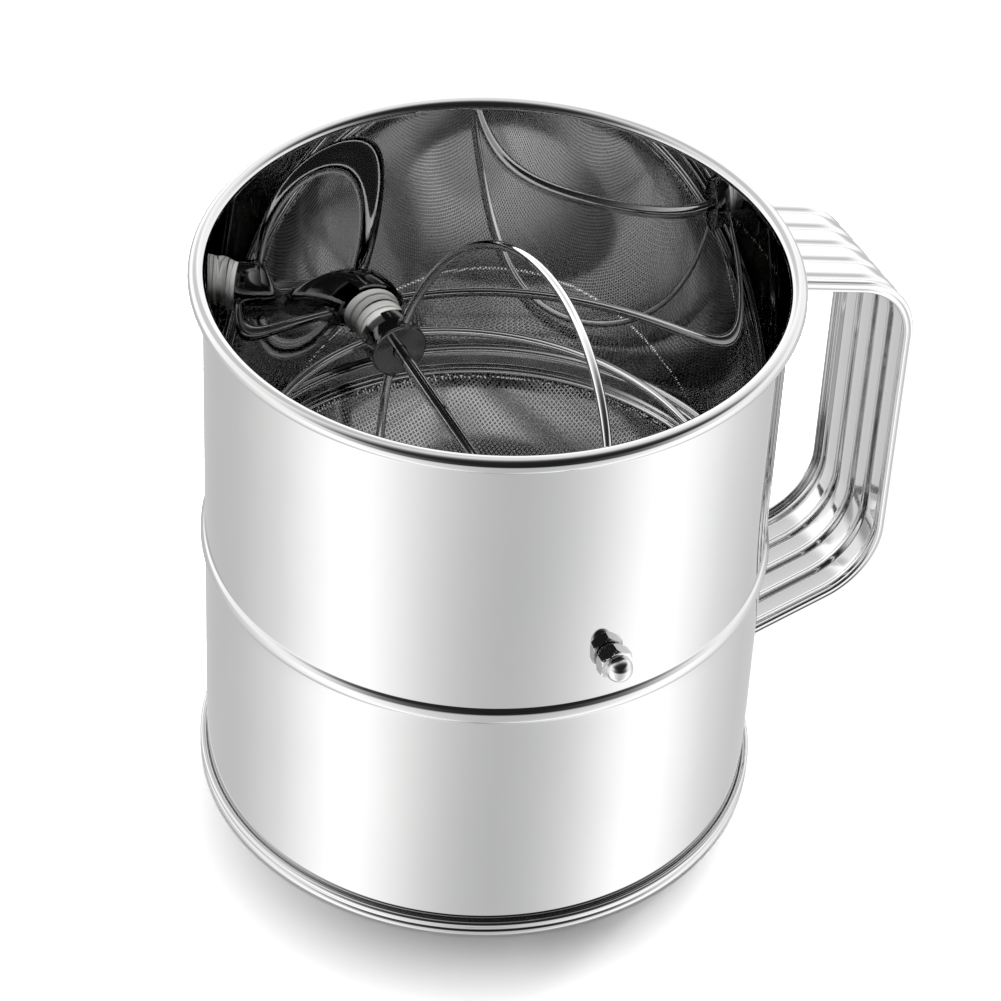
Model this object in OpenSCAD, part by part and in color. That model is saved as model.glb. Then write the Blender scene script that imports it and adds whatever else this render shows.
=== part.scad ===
// Hand-crank flour sifter with a ribbed strap handle, a wire agitator and a bowl-shaped screen.
// Frame: +Z up, origin on the axis of the round body in the plane it stands on.
// The handle points along +X and the crank shaft lies along Y, with the crank at +Y.

/* [Body] */
// outside diameter of the round wall
body_d = 156; // [148:1:164]
// overall height
body_h = 171; // [166:1:180]
// sheet thickness of the wall
wall = 0.8; // [0.6:0.1:1.0]
// diameter of the rolled tube round the mouth
rim_roll_d = 4.7; // [4:0.1:6]
// how far the bottom hem stands out from the inside face
hem_depth = 2.8; // [2.4:0.1:3.4]
// height of the bottom hem
hem_h = 5.2; // [4:0.1:7]
// height of the middle of the raised bead
bead_z = 81.8; // [78:0.2:84]
// how far the bead stands out from the wall
bead_out = 1.3; // [1.0:0.1:1.8]
// height of the bead where it leaves the wall
bead_h = 5.5; // [4.6:0.1:6.5]

/* [Screen] */
// height of the lowest point of the screen bowl
bowl_z = 31; // [28:1:33]
// thickness of the woven screen
mesh_t = 0.5; // [0.4:0.1:0.8]
// radial width of the ring in the bead groove
snap_ring_w = 3.2; // [2.8:0.1:3.6]
// height of the folded hem round the screen
frame_h = 2.7; // [2.4:0.1:3.2]
// radial width of the folded hem
frame_w = 3.5; // [3:0.1:4]

/* [Agitator] */
// height of the crank shaft
shaft_z = 98.5; // [97:0.5:104]
// diameter of the shaft, arm and knob pin
rod_d = 4; // [3.6:0.1:4.6]
// diameter of the agitator wires
wire_d = 2.7; // [2:0.1:3]
// bow radius of the steep pair of wires
steep_bow_r = 64; // [62:0.5:66]
// how far the centre of a steep bow lies past the shaft, on the side of its crown
steep_bow_shift = 0.5; // [-2:0.5:1]
// angle of the steep pair above the handle side
steep_angle = 75; // [60:1:90]
// bow radius of the level pair of wires
level_bow_r = 70; // [68:0.5:70]
// how far the centre of a level bow lies past the shaft, on the side of its crown
level_bow_shift = -6.5; // [-12:0.5:-6]
// angle of the level pair above the handle side
level_angle = -2; // [-10:1:10]
// outside diameter of the hubs
hub_d = 17; // [15:0.5:19]

/* [Crank] */
// distance from the shaft to the knob pin
crank_throw = 55; // [45:1:65]
// distance of the crank arm from the body axis
arm_y = 91; // [90:1:96]
// bend radius of the rod on its centre line
rod_bend_r = 6; // [5:0.5:8]
// length of the hand knob
knob_len = 32; // [26:1:40]
// largest diameter of the hand knob
knob_d = 22; // [18:1:26]
// radial running clearance of shaft and knob bearings
running_gap = 0.06; // [0.03:0.01:0.1]

/* [Handle] */
// width of the strap
strap_w = 40; // [34:1:44]
// sheet thickness of the strap
strap_t = 1.2; // [1:0.1:1.6]
// depth of the turned-in edges
lip_depth = 3.4; // [3:0.1:5]
// spacing of the lengthwise grooves
groove_pitch = 8.3; // [7:0.1:8.6]
// width of each groove at its mouth
groove_w = 3; // [2.4:0.1:3.4]
// depth of the grooves
groove_depth = 0.8; // [0.6:0.1:1.2]
// reach of the upright leg from the wall
handle_run = 42; // [34.8:2.4:44.4]
// height of the upper leg where it meets the wall
handle_top_z = 159; // [156:0.5:160]
// height of the lower leg where it meets the wall
handle_low_z = 29.4; // [28:0.1:40]
// outside radius of the upper bend
upper_bend_r = 24; // [16:1:28]
// outside radius of the lower bend
lower_bend_r = 24; // [16:1:28]

/* [Hidden] */
$fn = 96;
eps = 0.01;
far_cut = 400;
body_r = body_d / 2;
inner_r = body_r - wall;
roll_r = rim_roll_d / 2;
// circle through the two ends and the crown of the bead
bead_r = (bead_h * bead_h / 4 + bead_out * bead_out) / (2 * bead_out);
bead_cx = body_r + bead_out - bead_r;
groove_r = bead_r - wall;
ring_fit = 0.05;
rod_r = rod_d / 2;
wire_r = wire_d / 2;
hub_r = hub_d / 2;
// bushes: two flanges with a groove between them inside the wall, and a spigot through it
bush_r = 7.3;
bush_face = 71.2;
bush_flange_t = 2.4;
bush_groove_w = 0.6;
bush_neck_r = 6.3;
spigot_r = 3.4;
spigot_end = body_r + 0.3;
// hubs: plate facing the middle, cup opening towards the wall
hub_face = 61.5;
hub_back = 70.6;
hub_plate = 1.6;
hub_skin = 1.3;
boss_r = 4;
hub_notch_w = 5;
hub_notch_depth = 3.6;
hub_notch_angle = 35.5;
wire_end_rho = 5;
// acorn nut
nut_af = 8.7;
nut_hex_h = 3.9;
nut_start = body_r + 0.6;
nut_boss_r = 3.7;
nut_boss_h = 1;
shaft_tip = nut_start + nut_hex_h + 2;
// crank end of the rod
washer_start = body_r + 0.8;
washer_t = 1.6;
washer_r = 6;
pin_y = arm_y + rod_bend_r;
knob_gap = 0.3;
knob_washer_t = 1;
knob_washer_r = 5;
knob_start = pin_y + knob_washer_t + knob_gap;
cap_start = knob_start + knob_len + knob_gap;
cap_t = 2.6;
cap_r = 4.2;
pin_end = cap_start + 1.6;
pin_z = shaft_z - crank_throw;
// screen
frame_top = bead_z - bead_h / 2 - 0.05;
frame_r_out = body_r - 1.2;
frame_r_in = frame_r_out - frame_w;
slot_z = frame_top - frame_h / 2 - mesh_t / 2;
slot_r = frame_r_out - 1.2;
bowl_rim_r = frame_r_in + 0.2;
bowl_depth = slot_z - bowl_z + mesh_t;
bowl_r = (bowl_rim_r * bowl_rim_r + bowl_depth * bowl_depth) / (2 * bowl_depth);
bowl_cz = bowl_z + bowl_r;
// handle path, travelling up from the lower wall end; outer face line
// a 7-24-25 slope: each bend then ends on exact coordinates and fuses with its leg
leg_slope = asin(7 / 25);
handle_reach = body_r + handle_run;
leg_rise = handle_run * 7 / 24;
leg_len = handle_run * 25 / 24;
leg_into_wall = 5;
edge_r = 1;
weld_out = 1.3;
weld_band = 1.3;

// cylinder along Y between two distances from the body axis
module y_rod(r, y0, y1) {
    translate([0, y0, 0])
        rotate([-90, 0, 0])
            cylinder(r = r, h = y1 - y0);
}

module wall_profile() {
    difference() {
        translate([inner_r, hem_h / 2])
            square([wall, body_h - roll_r - hem_h / 2]);
        translate([bead_cx, bead_z])
            circle(r = groove_r);
    }
}

module rim_profile() {
    translate([inner_r + roll_r, body_h - roll_r])
        difference() {
            circle(r = roll_r);
            circle(r = roll_r - wall);
        }
}

module bead_profile() {
    intersection() {
        translate([bead_cx, bead_z])
            difference() {
                circle(r = bead_r);
                circle(r = groove_r);
            }
        translate([inner_r + wall / 2, bead_z - bead_h])
            square([bead_h, 2 * bead_h]);
    }
}

// slot shape standing on end, used for the outside and the hollow of the hem
module hem_outline(r, low, high) {
    translate([inner_r + hem_depth / 2 - r, low])
        square([2 * r, high - low]);
    for (z = [low, high])
        translate([inner_r + hem_depth / 2, z])
            circle(r = r);
}

module hem_profile() {
    hem_r = hem_depth / 2;
    intersection() {
        difference() {
            hem_outline(hem_r, hem_r - 0.1, hem_h - hem_r);
            hem_outline(hem_r - wall, hem_r - 0.1, hem_h - hem_r);
        }
        translate([inner_r - 1, 0])
            square([hem_depth + 2, 2 * hem_h]);
    }
}

module body_shell() {
    color("silver")
        difference() {
            rotate_extrude() {
                wall_profile();
                rim_profile();
                bead_profile();
                hem_profile();
            }
            translate([0, 0, shaft_z])
                y_rod(spigot_r, -body_d, body_d);
        }
}

module snap_ring() {
    color("silver")
        rotate_extrude()
            intersection() {
                translate([bead_cx, bead_z])
                    circle(r = groove_r - ring_fit);
                translate([bead_cx + groove_r - snap_ring_w, bead_z - bead_h])
                    square([bead_h, 2 * bead_h]);
            }
}

module screen_frame() {
    color("gainsboro")
        rotate_extrude()
            difference() {
                translate([frame_r_in, frame_top - frame_h])
                    square([frame_w, frame_h]);
                translate([frame_r_in - 1, slot_z])
                    square([slot_r - frame_r_in + 1, mesh_t]);
            }
}

module screen_mesh() {
    color("lightgray")
        rotate_extrude() {
            intersection() {
                translate([0, bowl_cz])
                    difference() {
                        circle(r = bowl_r);
                        circle(r = bowl_r - mesh_t);
                    }
                translate([0, bowl_z - 1])
                    square([bowl_r, slot_z + mesh_t - bowl_z + 1]);
            }
            translate([bowl_rim_r - 1.2, slot_z])
                square([slot_r - bowl_rim_r + 1.2, mesh_t]);
        }
}

// cross-section of the strap: X is the outward direction, Y runs across the width
module strap_section() {
    half_w = strap_w / 2;
    half_g = groove_w / 2;
    flare = strap_t / 2;
    outside = [for (k = [-2 : 2]) each [
        [0, k * groove_pitch - half_g],
        [-groove_depth, k * groove_pitch - half_g + flare],
        [-groove_depth, k * groove_pitch + half_g - flare],
        [0, k * groove_pitch + half_g]
    ]];
    inside = [for (k = [2 : -1 : -2]) each [
        [-strap_t, k * groove_pitch + half_g + flare],
        [-strap_t - groove_depth, k * groove_pitch + half_g],
        [-strap_t - groove_depth, k * groove_pitch - half_g],
        [-strap_t, k * groove_pitch - half_g - flare]
    ]];
    polygon(concat(
        [[-lip_depth, -half_w], [-edge_r, -half_w], [-edge_r * 0.3, -half_w + edge_r * 0.3], [0, -half_w + edge_r]],
        outside,
        [[0, half_w - edge_r], [-edge_r * 0.3, half_w - edge_r * 0.3], [-edge_r, half_w], [-lip_depth, half_w]],
        [[-lip_depth, half_w - strap_t], [-strap_t, half_w - strap_t]],
        inside,
        [[-strap_t, -half_w + strap_t], [-lip_depth, -half_w + strap_t]]
    ));
}

module strap_leg(x, z, direction, length) {
    translate([x, 0, z])
        rotate([0, 90 - direction, 0])
            linear_extrude(length)
                strap_section();
}

// sloped leg from the wall and the bend that turns it upright; z is counted from where its outer face meets the wall
module strap_half(r) {
    tangent = r * 3 / 4;
    strap_leg(body_r - leg_into_wall * cos(leg_slope), -leg_into_wall * sin(leg_slope), leg_slope,
              leg_into_wall + leg_len - tangent);
    translate([handle_reach - r, 0, leg_rise + tangent])
        rotate([90, 0, 0])
            rotate([0, 0, leg_slope - 90])
                rotate_extrude(angle = 90 - leg_slope)
                    translate([r, 0])
                        strap_section();
}

module handle_strap() {
    upright_start = handle_low_z + leg_rise + lower_bend_r * 3 / 4;
    upright_end = handle_top_z - leg_rise - upper_bend_r * 3 / 4;
    color("silver")
        difference() {
            union() {
                translate([0, 0, handle_low_z])
                    strap_half(lower_bend_r);
                strap_leg(handle_reach, upright_start, 90, upright_end - upright_start);
                translate([0, 0, handle_top_z])
                    mirror([0, 0, 1])
                        strap_half(upper_bend_r);
            }
            cylinder(r = body_r, h = far_cut);
        }
}

// bead of weld metal on the wall along the outer face of one end of the strap
module weld_band(z, direction) {
    bead_half = strap_w / 2 - 2 * edge_r;
    difference() {
        intersection() {
            translate([body_r, 0, z])
                rotate([0, 90 - direction, 0])
                    translate([-groove_depth / 2, -bead_half, -4])
                        cube([groove_depth / 2 + weld_band, 2 * bead_half, 14]);
            cylinder(r = body_r + weld_out, h = far_cut);
        }
        cylinder(r = body_r, h = far_cut);
        handle_strap();
    }
}

module handle_upper_weld() {
    color("darkgray")
        weld_band(handle_top_z, 180 - leg_slope);
}

module handle_lower_weld() {
    color("darkgray")
        weld_band(handle_low_z, leg_slope);
}

// flanged bearing in the wall at +Y
module bush() {
    difference() {
        translate([0, 0, shaft_z])
            intersection() {
                union() {
                    y_rod(bush_r, bush_face, bush_face + bush_flange_t);
                    y_rod(bush_neck_r, bush_face, inner_r + 1);
                    y_rod(bush_r, bush_face + bush_flange_t + bush_groove_w, inner_r + 1);
                    y_rod(spigot_r, bush_face, spigot_end);
                }
                union() {
                    translate([0, 0, -shaft_z])
                        cylinder(r = inner_r, h = far_cut);
                    y_rod(spigot_r, bush_face, spigot_end);
                }
            }
        translate([0, 0, shaft_z])
            y_rod(rod_r + running_gap, bush_face - 1, spigot_end + 1);
    }
}

module far_bush() {
    color("white")
        bush();
}

module near_bush() {
    color("white")
        mirror([0, 1, 0])
            bush();
}

// quarter bend of rod in the YZ plane, starting along +Y
module rod_bend(y, z, start) {
    translate([0, y, z])
        rotate([0, 90, 0])
            rotate([0, 0, start])
                rotate_extrude(angle = 90)
                    translate([rod_bend_r, 0])
                        circle(r = rod_r);
}

module crank_rod() {
    color("silver") {
        translate([0, 0, shaft_z])
            y_rod(rod_r, -shaft_tip, arm_y - rod_bend_r);
        rod_bend(arm_y - rod_bend_r, shaft_z - rod_bend_r, 90);
        translate([0, arm_y, pin_z + rod_bend_r])
            cylinder(r = rod_r, h = crank_throw - 2 * rod_bend_r);
        rod_bend(pin_y, pin_z + rod_bend_r, -90);
        translate([0, 0, pin_z])
            y_rod(rod_r, pin_y, pin_end);
    }
}

// one bowed wire, standing in the plane at the given angle about the shaft
module agitator_wire(angle, radius, shift) {
    half_sweep = acos((wire_end_rho - shift) / radius);
    color("silver")
        translate([0, 0, shaft_z])
            rotate([0, -angle, 0])
                translate([shift, 0, 0])
                    rotate([0, 0, -half_sweep])
                        rotate_extrude(angle = 2 * half_sweep)
                            translate([radius, 0])
                                circle(r = wire_r);
}

module agitator_wire_1() {
    agitator_wire(steep_angle, steep_bow_r, steep_bow_shift);
}

module agitator_wire_2() {
    agitator_wire(level_angle, level_bow_r, level_bow_shift);
}

module agitator_wire_3() {
    agitator_wire(steep_angle + 180, steep_bow_r, steep_bow_shift);
}

module agitator_wire_4() {
    agitator_wire(level_angle + 180, level_bow_r, level_bow_shift);
}

// stamped cup at +Y with one socket for each wire
module hub() {
    difference() {
        translate([0, 0, shaft_z]) {
            y_rod(hub_r, hub_face, hub_face + hub_plate);
            y_rod(boss_r, hub_face, hub_back - 1);
            difference() {
                y_rod(hub_r, hub_face, hub_back);
                y_rod(hub_r - hub_skin, hub_face + hub_plate, hub_back + 1);
                for (k = [0 : 3])
                    rotate([0, -hub_notch_angle - k * 90, 0])
                        translate([hub_r - 2 * hub_skin, hub_back - hub_notch_depth, -hub_notch_w / 2])
                            cube([4 * hub_skin, hub_notch_depth + 1, hub_notch_w]);
            }
        }
        translate([0, 0, shaft_z])
            y_rod(rod_r, hub_face - 1, hub_back + 1);
        agitator_wire_1();
        agitator_wire_2();
        agitator_wire_3();
        agitator_wire_4();
    }
}

module far_hub() {
    color("dimgray")
        hub();
}

module near_hub() {
    color("dimgray")
        mirror([0, 1, 0])
            hub();
}

module acorn_nut() {
    boss_start = nut_start + nut_hex_h;
    color("silver")
        mirror([0, 1, 0])
            translate([0, 0, shaft_z])
                difference() {
                    union() {
                        translate([0, nut_start, 0])
                            rotate([-90, 0, 0])
                                cylinder(r = nut_af / 2 / cos(30), h = nut_hex_h, $fn = 6);
                        y_rod(nut_boss_r, boss_start, boss_start + nut_boss_h);
                        translate([0, boss_start + nut_boss_h, 0])
                            sphere(r = nut_boss_r);
                    }
                    y_rod(rod_r, nut_start - 1, shaft_tip);
                }
}

// flat washer on the rod at the given height
module rod_washer(z, start, thickness, r) {
    translate([0, 0, z])
        difference() {
            y_rod(r, start, start + thickness);
            y_rod(rod_r, start - 1, start + thickness + 1);
        }
}

module crank_washer() {
    color("white")
        rod_washer(shaft_z, washer_start, washer_t, washer_r);
}

module knob_washer() {
    color("silver")
        rod_washer(pin_z, pin_y, knob_washer_t, knob_washer_r);
}

module knob_cap() {
    color("silver")
        translate([0, 0, pin_z])
            difference() {
                y_rod(cap_r, cap_start, cap_start + cap_t);
                y_rod(rod_r, cap_start - 1, pin_end);
            }
}

module crank_knob() {
    knob_r = knob_d / 2;
    color("black")
        translate([0, knob_start, pin_z])
            rotate([-90, 0, 0])
                rotate_extrude()
                    polygon([[rod_r + running_gap, 0], [knob_r * 0.50, 0], [knob_r * 0.58, knob_len * 0.03],
                             [knob_r * 0.60, knob_len * 0.10], [knob_r * 0.66, knob_len * 0.25],
                             [knob_r * 0.80, knob_len * 0.45], [knob_r * 0.94, knob_len * 0.60],
                             [knob_r, knob_len * 0.72], [knob_r * 0.98, knob_len * 0.82],
                             [knob_r * 0.88, knob_len * 0.91], [knob_r * 0.70, knob_len * 0.97],
                             [knob_r * 0.50, knob_len], [rod_r + running_gap, knob_len]]);
}

body_shell();
snap_ring();
screen_frame();
screen_mesh();
handle_strap();
handle_upper_weld();
handle_lower_weld();
far_bush();
near_bush();
crank_rod();
far_hub();
near_hub();
agitator_wire_1();
agitator_wire_2();
agitator_wire_3();
agitator_wire_4();
acorn_nut();
crank_washer();
knob_washer();
knob_cap();
crank_knob();
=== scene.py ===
"""Looks of the flour sifter: polished steel pieces, woven screen, studio light and camera."""
import math

import bmesh
import bpy
from mathutils import Matrix, Vector


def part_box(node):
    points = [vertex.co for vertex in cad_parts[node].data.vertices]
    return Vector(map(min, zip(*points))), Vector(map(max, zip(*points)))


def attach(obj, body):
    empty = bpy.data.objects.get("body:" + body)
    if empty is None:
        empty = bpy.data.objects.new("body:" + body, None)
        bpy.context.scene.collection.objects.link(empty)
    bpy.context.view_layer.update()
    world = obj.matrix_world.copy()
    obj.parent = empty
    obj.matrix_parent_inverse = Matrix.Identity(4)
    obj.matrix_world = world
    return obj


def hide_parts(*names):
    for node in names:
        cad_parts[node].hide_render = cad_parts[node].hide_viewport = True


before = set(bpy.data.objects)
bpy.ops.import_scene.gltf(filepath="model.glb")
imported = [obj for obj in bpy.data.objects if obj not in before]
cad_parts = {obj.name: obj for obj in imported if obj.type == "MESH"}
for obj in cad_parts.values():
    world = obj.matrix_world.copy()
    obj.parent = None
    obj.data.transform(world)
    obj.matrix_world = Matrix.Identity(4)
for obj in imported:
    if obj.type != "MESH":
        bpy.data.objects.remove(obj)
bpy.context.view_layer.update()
MM = 0.001

# ---------------------------------------------------------------- sizes read from the CAD frame
SHELL_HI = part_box("body_shell")[1]
HEIGHT = SHELL_HI[2] / MM
ROLL_OUT = SHELL_HI[0] / MM
WALL = 0.8
BODY_R = 78.0
INNER_R = BODY_R - WALL
ROLL_R = (ROLL_OUT - INNER_R) / 2
# section circle of the bead: its radius on the outside and where its centre lies
BEAD_R, BEAD_CX = 3.5582, 75.7418
RING_LO, RING_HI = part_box("snap_ring")
BEAD_Z = (RING_LO[2] + RING_HI[2]) / 2 / MM
FRAME_LO, FRAME_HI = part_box("screen_frame")
MESH_LO, MESH_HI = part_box("screen_mesh")
ROD_LO, ROD_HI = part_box("crank_rod")
ROD_R = 2.0
SHAFT_Z = ROD_HI[2] / MM - ROD_R
KNOB_LO, KNOB_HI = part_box("crank_knob")
PIN_Z = (KNOB_LO[2] + KNOB_HI[2]) / 2 / MM
PIN_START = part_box("knob_washer")[0][1] / MM
# width of the snap ring, width of the screen's hem, wall left behind its slot, thickness of the CAD screen
RING_W, HEM_W, SLOT_WALL, SCREEN_T = 3.2, 3.5, 1.2, 0.5
NUT_FLAT, NUT_HEX_H, NUT_COLLAR_R, NUT_COLLAR_H, NUT_GAP = 8.7 / 2, 3.9, 3.7, 1.0, 0.6
# each agitator wire: angle about the shaft in degrees, bow radius, how far its centre lies past the shaft
STEEP, LEVEL = (64.0, 0.5), (70.0, -6.5)
WIRES = {1: (75.0, *STEEP), 2: (-2.0, *LEVEL), 3: (255.0, *STEEP), 4: (178.0, *LEVEL)}


# ---------------------------------------------------------------- materials
# part of a noise's range that is stretched over the full change of colour or gloss
NOISE_LOW, NOISE_HIGH = 0.3, 0.7
SMEAR_SCALE, WAVE_SCALE = 28.0, 14.0
FINE_BUMP, COARSE_BUMP = 0.0002, 0.0006


def node_tree(name):
    """New material with its nodes, links and shader."""
    mat = bpy.data.materials.new(name)
    mat.use_nodes = True
    nodes, links = mat.node_tree.nodes, mat.node_tree.links
    return mat, nodes, links, nodes["Principled BSDF"]


def mapped_noise(nodes, links, scale, stretch=(1, 1, 1), detail=4.0):
    """Noise in the object's own space."""
    coord = nodes.new("ShaderNodeTexCoord")
    mapping = nodes.new("ShaderNodeMapping")
    mapping.inputs["Scale"].default_value = stretch
    noise = nodes.new("ShaderNodeTexNoise")
    noise.inputs["Scale"].default_value = scale
    noise.inputs["Detail"].default_value = detail
    links.new(coord.outputs["Object"], mapping.inputs["Vector"])
    links.new(mapping.outputs["Vector"], noise.inputs["Vector"])
    return noise.outputs["Fac"]


def span(nodes, links, value, low, high):
    """Spreads a noise over the numbers from low to high."""
    part = nodes.new("ShaderNodeMapRange")
    part.inputs["From Min"].default_value = NOISE_LOW
    part.inputs["From Max"].default_value = NOISE_HIGH
    part.inputs["To Min"].default_value = low
    part.inputs["To Max"].default_value = high
    links.new(value, part.inputs["Value"])
    return part.outputs["Result"]


def tint(nodes, links, value, dark, light):
    """Spreads a noise over the colours from dark to light."""
    ramp = nodes.new("ShaderNodeValToRGB")
    ramp.color_ramp.elements[0].position = NOISE_LOW
    ramp.color_ramp.elements[0].color = (*dark, 1)
    ramp.color_ramp.elements[1].position = NOISE_HIGH
    ramp.color_ramp.elements[1].color = (*light, 1)
    links.new(value, ramp.inputs["Fac"])
    return ramp.outputs["Color"]


def bump(nodes, links, value, strength, distance):
    """Turns a height into a shading normal."""
    part = nodes.new("ShaderNodeBump")
    part.inputs["Strength"].default_value = strength
    part.inputs["Distance"].default_value = distance
    links.new(value, part.inputs["Height"])
    return part.outputs["Normal"]


def steel(name, light, rough, grain, grain_scale, grain_depth, wave):
    """Stainless steel: a fine directional polish, soft smears in the gloss and faint sheet waviness."""
    mat, nodes, links, shader = node_tree(name)
    shader.inputs["Metallic"].default_value = 1.0
    smear = mapped_noise(nodes, links, SMEAR_SCALE, (1, 1, 0.6), 5.0)
    fine = mapped_noise(nodes, links, grain_scale, grain, 3.0)
    dark = tuple(light * k for k in (0.955, 0.957, 0.965))
    bright = tuple(light * k for k in (1.0, 0.998, 0.995))
    links.new(tint(nodes, links, smear, dark, bright), shader.inputs["Base Color"])
    links.new(span(nodes, links, smear, rough[0], rough[1]), shader.inputs["Roughness"])
    height = nodes.new("ShaderNodeMath")
    height.operation = "MULTIPLY_ADD"
    links.new(mapped_noise(nodes, links, WAVE_SCALE, (1, 1, 1), 1.0), height.inputs[0])
    height.inputs[1].default_value = wave
    links.new(fine, height.inputs[2])
    relief = bump(nodes, links, height.outputs["Value"], grain_depth, FINE_BUMP)
    links.new(relief, shader.inputs["Normal"])
    return mat


def nylon(name):
    """White bearing plastic, faintly translucent."""
    mat, nodes, links, shader = node_tree(name)
    cloud = mapped_noise(nodes, links, 120.0, (1, 1, 1), 4.0)
    colour = tint(nodes, links, cloud, (0.68, 0.68, 0.66), (0.78, 0.78, 0.77))
    links.new(colour, shader.inputs["Base Color"])
    links.new(span(nodes, links, cloud, 0.34, 0.46), shader.inputs["Roughness"])
    shader.inputs["Subsurface Weight"].default_value = 0.08
    shader.inputs["Subsurface Radius"].default_value = (0.002, 0.002, 0.002)
    grain = mapped_noise(nodes, links, 900.0)
    links.new(bump(nodes, links, grain, 0.12, FINE_BUMP), shader.inputs["Normal"])
    return mat


def moulded_black(name):
    """Black moulded plastic with a thin gloss."""
    mat, nodes, links, shader = node_tree(name)
    cloud = mapped_noise(nodes, links, 60.0, (1, 1, 1), 4.0)
    colour = tint(nodes, links, cloud, (0.010, 0.010, 0.011), (0.020, 0.020, 0.021))
    links.new(colour, shader.inputs["Base Color"])
    links.new(span(nodes, links, cloud, 0.18, 0.30), shader.inputs["Roughness"])
    shader.inputs["Coat Weight"].default_value = 0.25
    shader.inputs["Coat Roughness"].default_value = 0.08
    grain = mapped_noise(nodes, links, 1500.0)
    links.new(bump(nodes, links, grain, 0.06, FINE_BUMP), shader.inputs["Normal"])
    return mat


def weld_metal(name):
    """Rough weld metal, slightly heat-tinted."""
    mat, nodes, links, shader = node_tree(name)
    shader.inputs["Metallic"].default_value = 1.0
    cloud = mapped_noise(nodes, links, 350.0, (1, 1, 1), 5.0)
    colour = tint(nodes, links, cloud, (0.42, 0.40, 0.37), (0.62, 0.61, 0.60))
    links.new(colour, shader.inputs["Base Color"])
    links.new(span(nodes, links, cloud, 0.28, 0.48), shader.inputs["Roughness"])
    links.new(bump(nodes, links, cloud, 0.35, COARSE_BUMP), shader.inputs["Normal"])
    return mat


# each steel: brightness, roughness from and to, stretch, scale and depth of its grain, sheet waviness
SHELL = steel("shell_steel", 0.66, (0.006, 0.016), (0.4, 0.4, 6.0), 700.0, 0.0008, 10.0)
HANDLE = steel("handle_steel", 0.74, (0.06, 0.10), (6.0, 1.0, 1.0), 500.0, 0.02, 8.0)
# the ring's steel is set brighter than the shell's so its highlights come out whiter: painted highlight
RING = steel("ring_steel", 0.88, (0.06, 0.10), (1, 1, 1), 800.0, 0.04, 2.0)
ROD = steel("rod_steel", 0.70, (0.05, 0.12), (6.0, 0.4, 6.0), 900.0, 0.03, 1.0)
# the wires' steel is set brighter than the shell's so their highlights come out whiter: painted highlight
WIRE = steel("wire_steel", 0.90, (0.05, 0.10), (1, 1, 1), 900.0, 0.03, 1.0)
# the hub's steel is set far darker than the shell's: painted dark reflection, standing in for the dark room
# it mirrors
HUB = steel("hub_steel", 0.28, (0.08, 0.14), (1, 1, 1), 700.0, 0.05, 2.0)
NUT = steel("nut_steel", 0.68, (0.05, 0.10), (1, 6, 1), 800.0, 0.03, 1.0)
MESH = steel("mesh_steel", 0.50, (0.08, 0.12), (1, 1, 1), 1200.0, 0.03, 0.0)
WELD = weld_metal("weld_steel")
NYLON = nylon("nylon")
KNOB = moulded_black("knob_plastic")


# ---------------------------------------------------------------- mesh helpers (all lengths in mm)
def piece(name, verts, faces, mat, slot, body, nodes, sharp=32.0):
    """Makes a closed mesh piece, rides it on its body and lets it stand for its CAD nodes."""
    mesh = bpy.data.meshes.new(name)
    mesh.from_pydata([(x * MM, y * MM, z * MM) for x, y, z in verts], [], faces)
    mesh.update()
    made = bmesh.new()
    made.from_mesh(mesh)
    bmesh.ops.recalc_face_normals(made, faces=made.faces)
    made.to_mesh(mesh)
    made.free()
    mesh.shade_smooth()
    mesh.set_sharp_from_angle(angle=math.radians(sharp))
    mesh.materials.append(mat)
    obj = bpy.data.objects.new(name, mesh)
    bpy.context.collection.objects.link(obj)
    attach(obj, body)
    if nodes:
        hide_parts(*nodes)


def turns(steps):
    """Angles of one full turn in equal steps."""
    return [2 * math.pi * k / steps for k in range(steps)]


def merge(*parts):
    """Joins (verts, faces) pairs into one pair."""
    verts, faces = [], []
    for v, f in parts:
        base = len(verts)
        verts += v
        faces += [[i + base for i in face] for face in f]
    return verts, faces


def grid(rows, close_rows, close_cols, cap_rows=False):
    """Faces over a list of equally long point rows."""
    n, m = len(rows), len(rows[0])
    verts = [tuple(p) for row in rows for p in row]
    faces = []
    for i in range(n if close_rows else n - 1):
        for j in range(m if close_cols else m - 1):
            a, b = i * m + j, i * m + (j + 1) % m
            c, d = ((i + 1) % n) * m + (j + 1) % m, ((i + 1) % n) * m + j
            faces.append([a, b, c, d])
    if cap_rows:
        faces.append(list(range(m))[::-1])
        faces.append([(n - 1) * m + j for j in range(m)])
    return verts, faces


def lathe(profile, steps=96):
    """Turns a closed (r, z) outline about Z."""
    rows = [[(r * math.cos(a), r * math.sin(a), z) for r, z in profile] for a in turns(steps)]
    return grid(rows, True, True)


def spun(profile, steps):
    """Turns an open outline that starts and ends on the axis, with a fan at each end."""
    verts, faces = [], []
    for r, z in profile[1:-1]:
        verts += [(r * math.cos(a), r * math.sin(a), z) for a in turns(steps)]
    rows = len(profile) - 2
    for i in range(rows - 1):
        for j in range(steps):
            a, b = i * steps + j, i * steps + (j + 1) % steps
            faces.append([a, b, b + steps, a + steps])
    first, last = len(verts), len(verts) + 1
    verts += [(0, 0, profile[0][1]), (0, 0, profile[-1][1])]
    for j in range(steps):
        faces.append([first, (j + 1) % steps, j])
        faces.append([last, (rows - 1) * steps + j, (rows - 1) * steps + (j + 1) % steps])
    return verts, faces


def arc(cx, cz, r, start, end, steps):
    """Points of an arc between two angles in degrees, both ends included."""
    return [
        (cx + r * math.cos(math.radians(start + (end - start) * k / steps)),
         cz + r * math.sin(math.radians(start + (end - start) * k / steps)))
        for k in range(steps + 1)
    ]


def along_y(part, y, z, flip=False):
    """Stands a part turned about Z on the line through (0, y, z) along +Y, or along -Y when flipped."""
    verts, faces = part
    s = -1 if flip else 1
    return [(vx, s * (y + vz), z + s * vy) for vx, vy, vz in verts], faces


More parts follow.
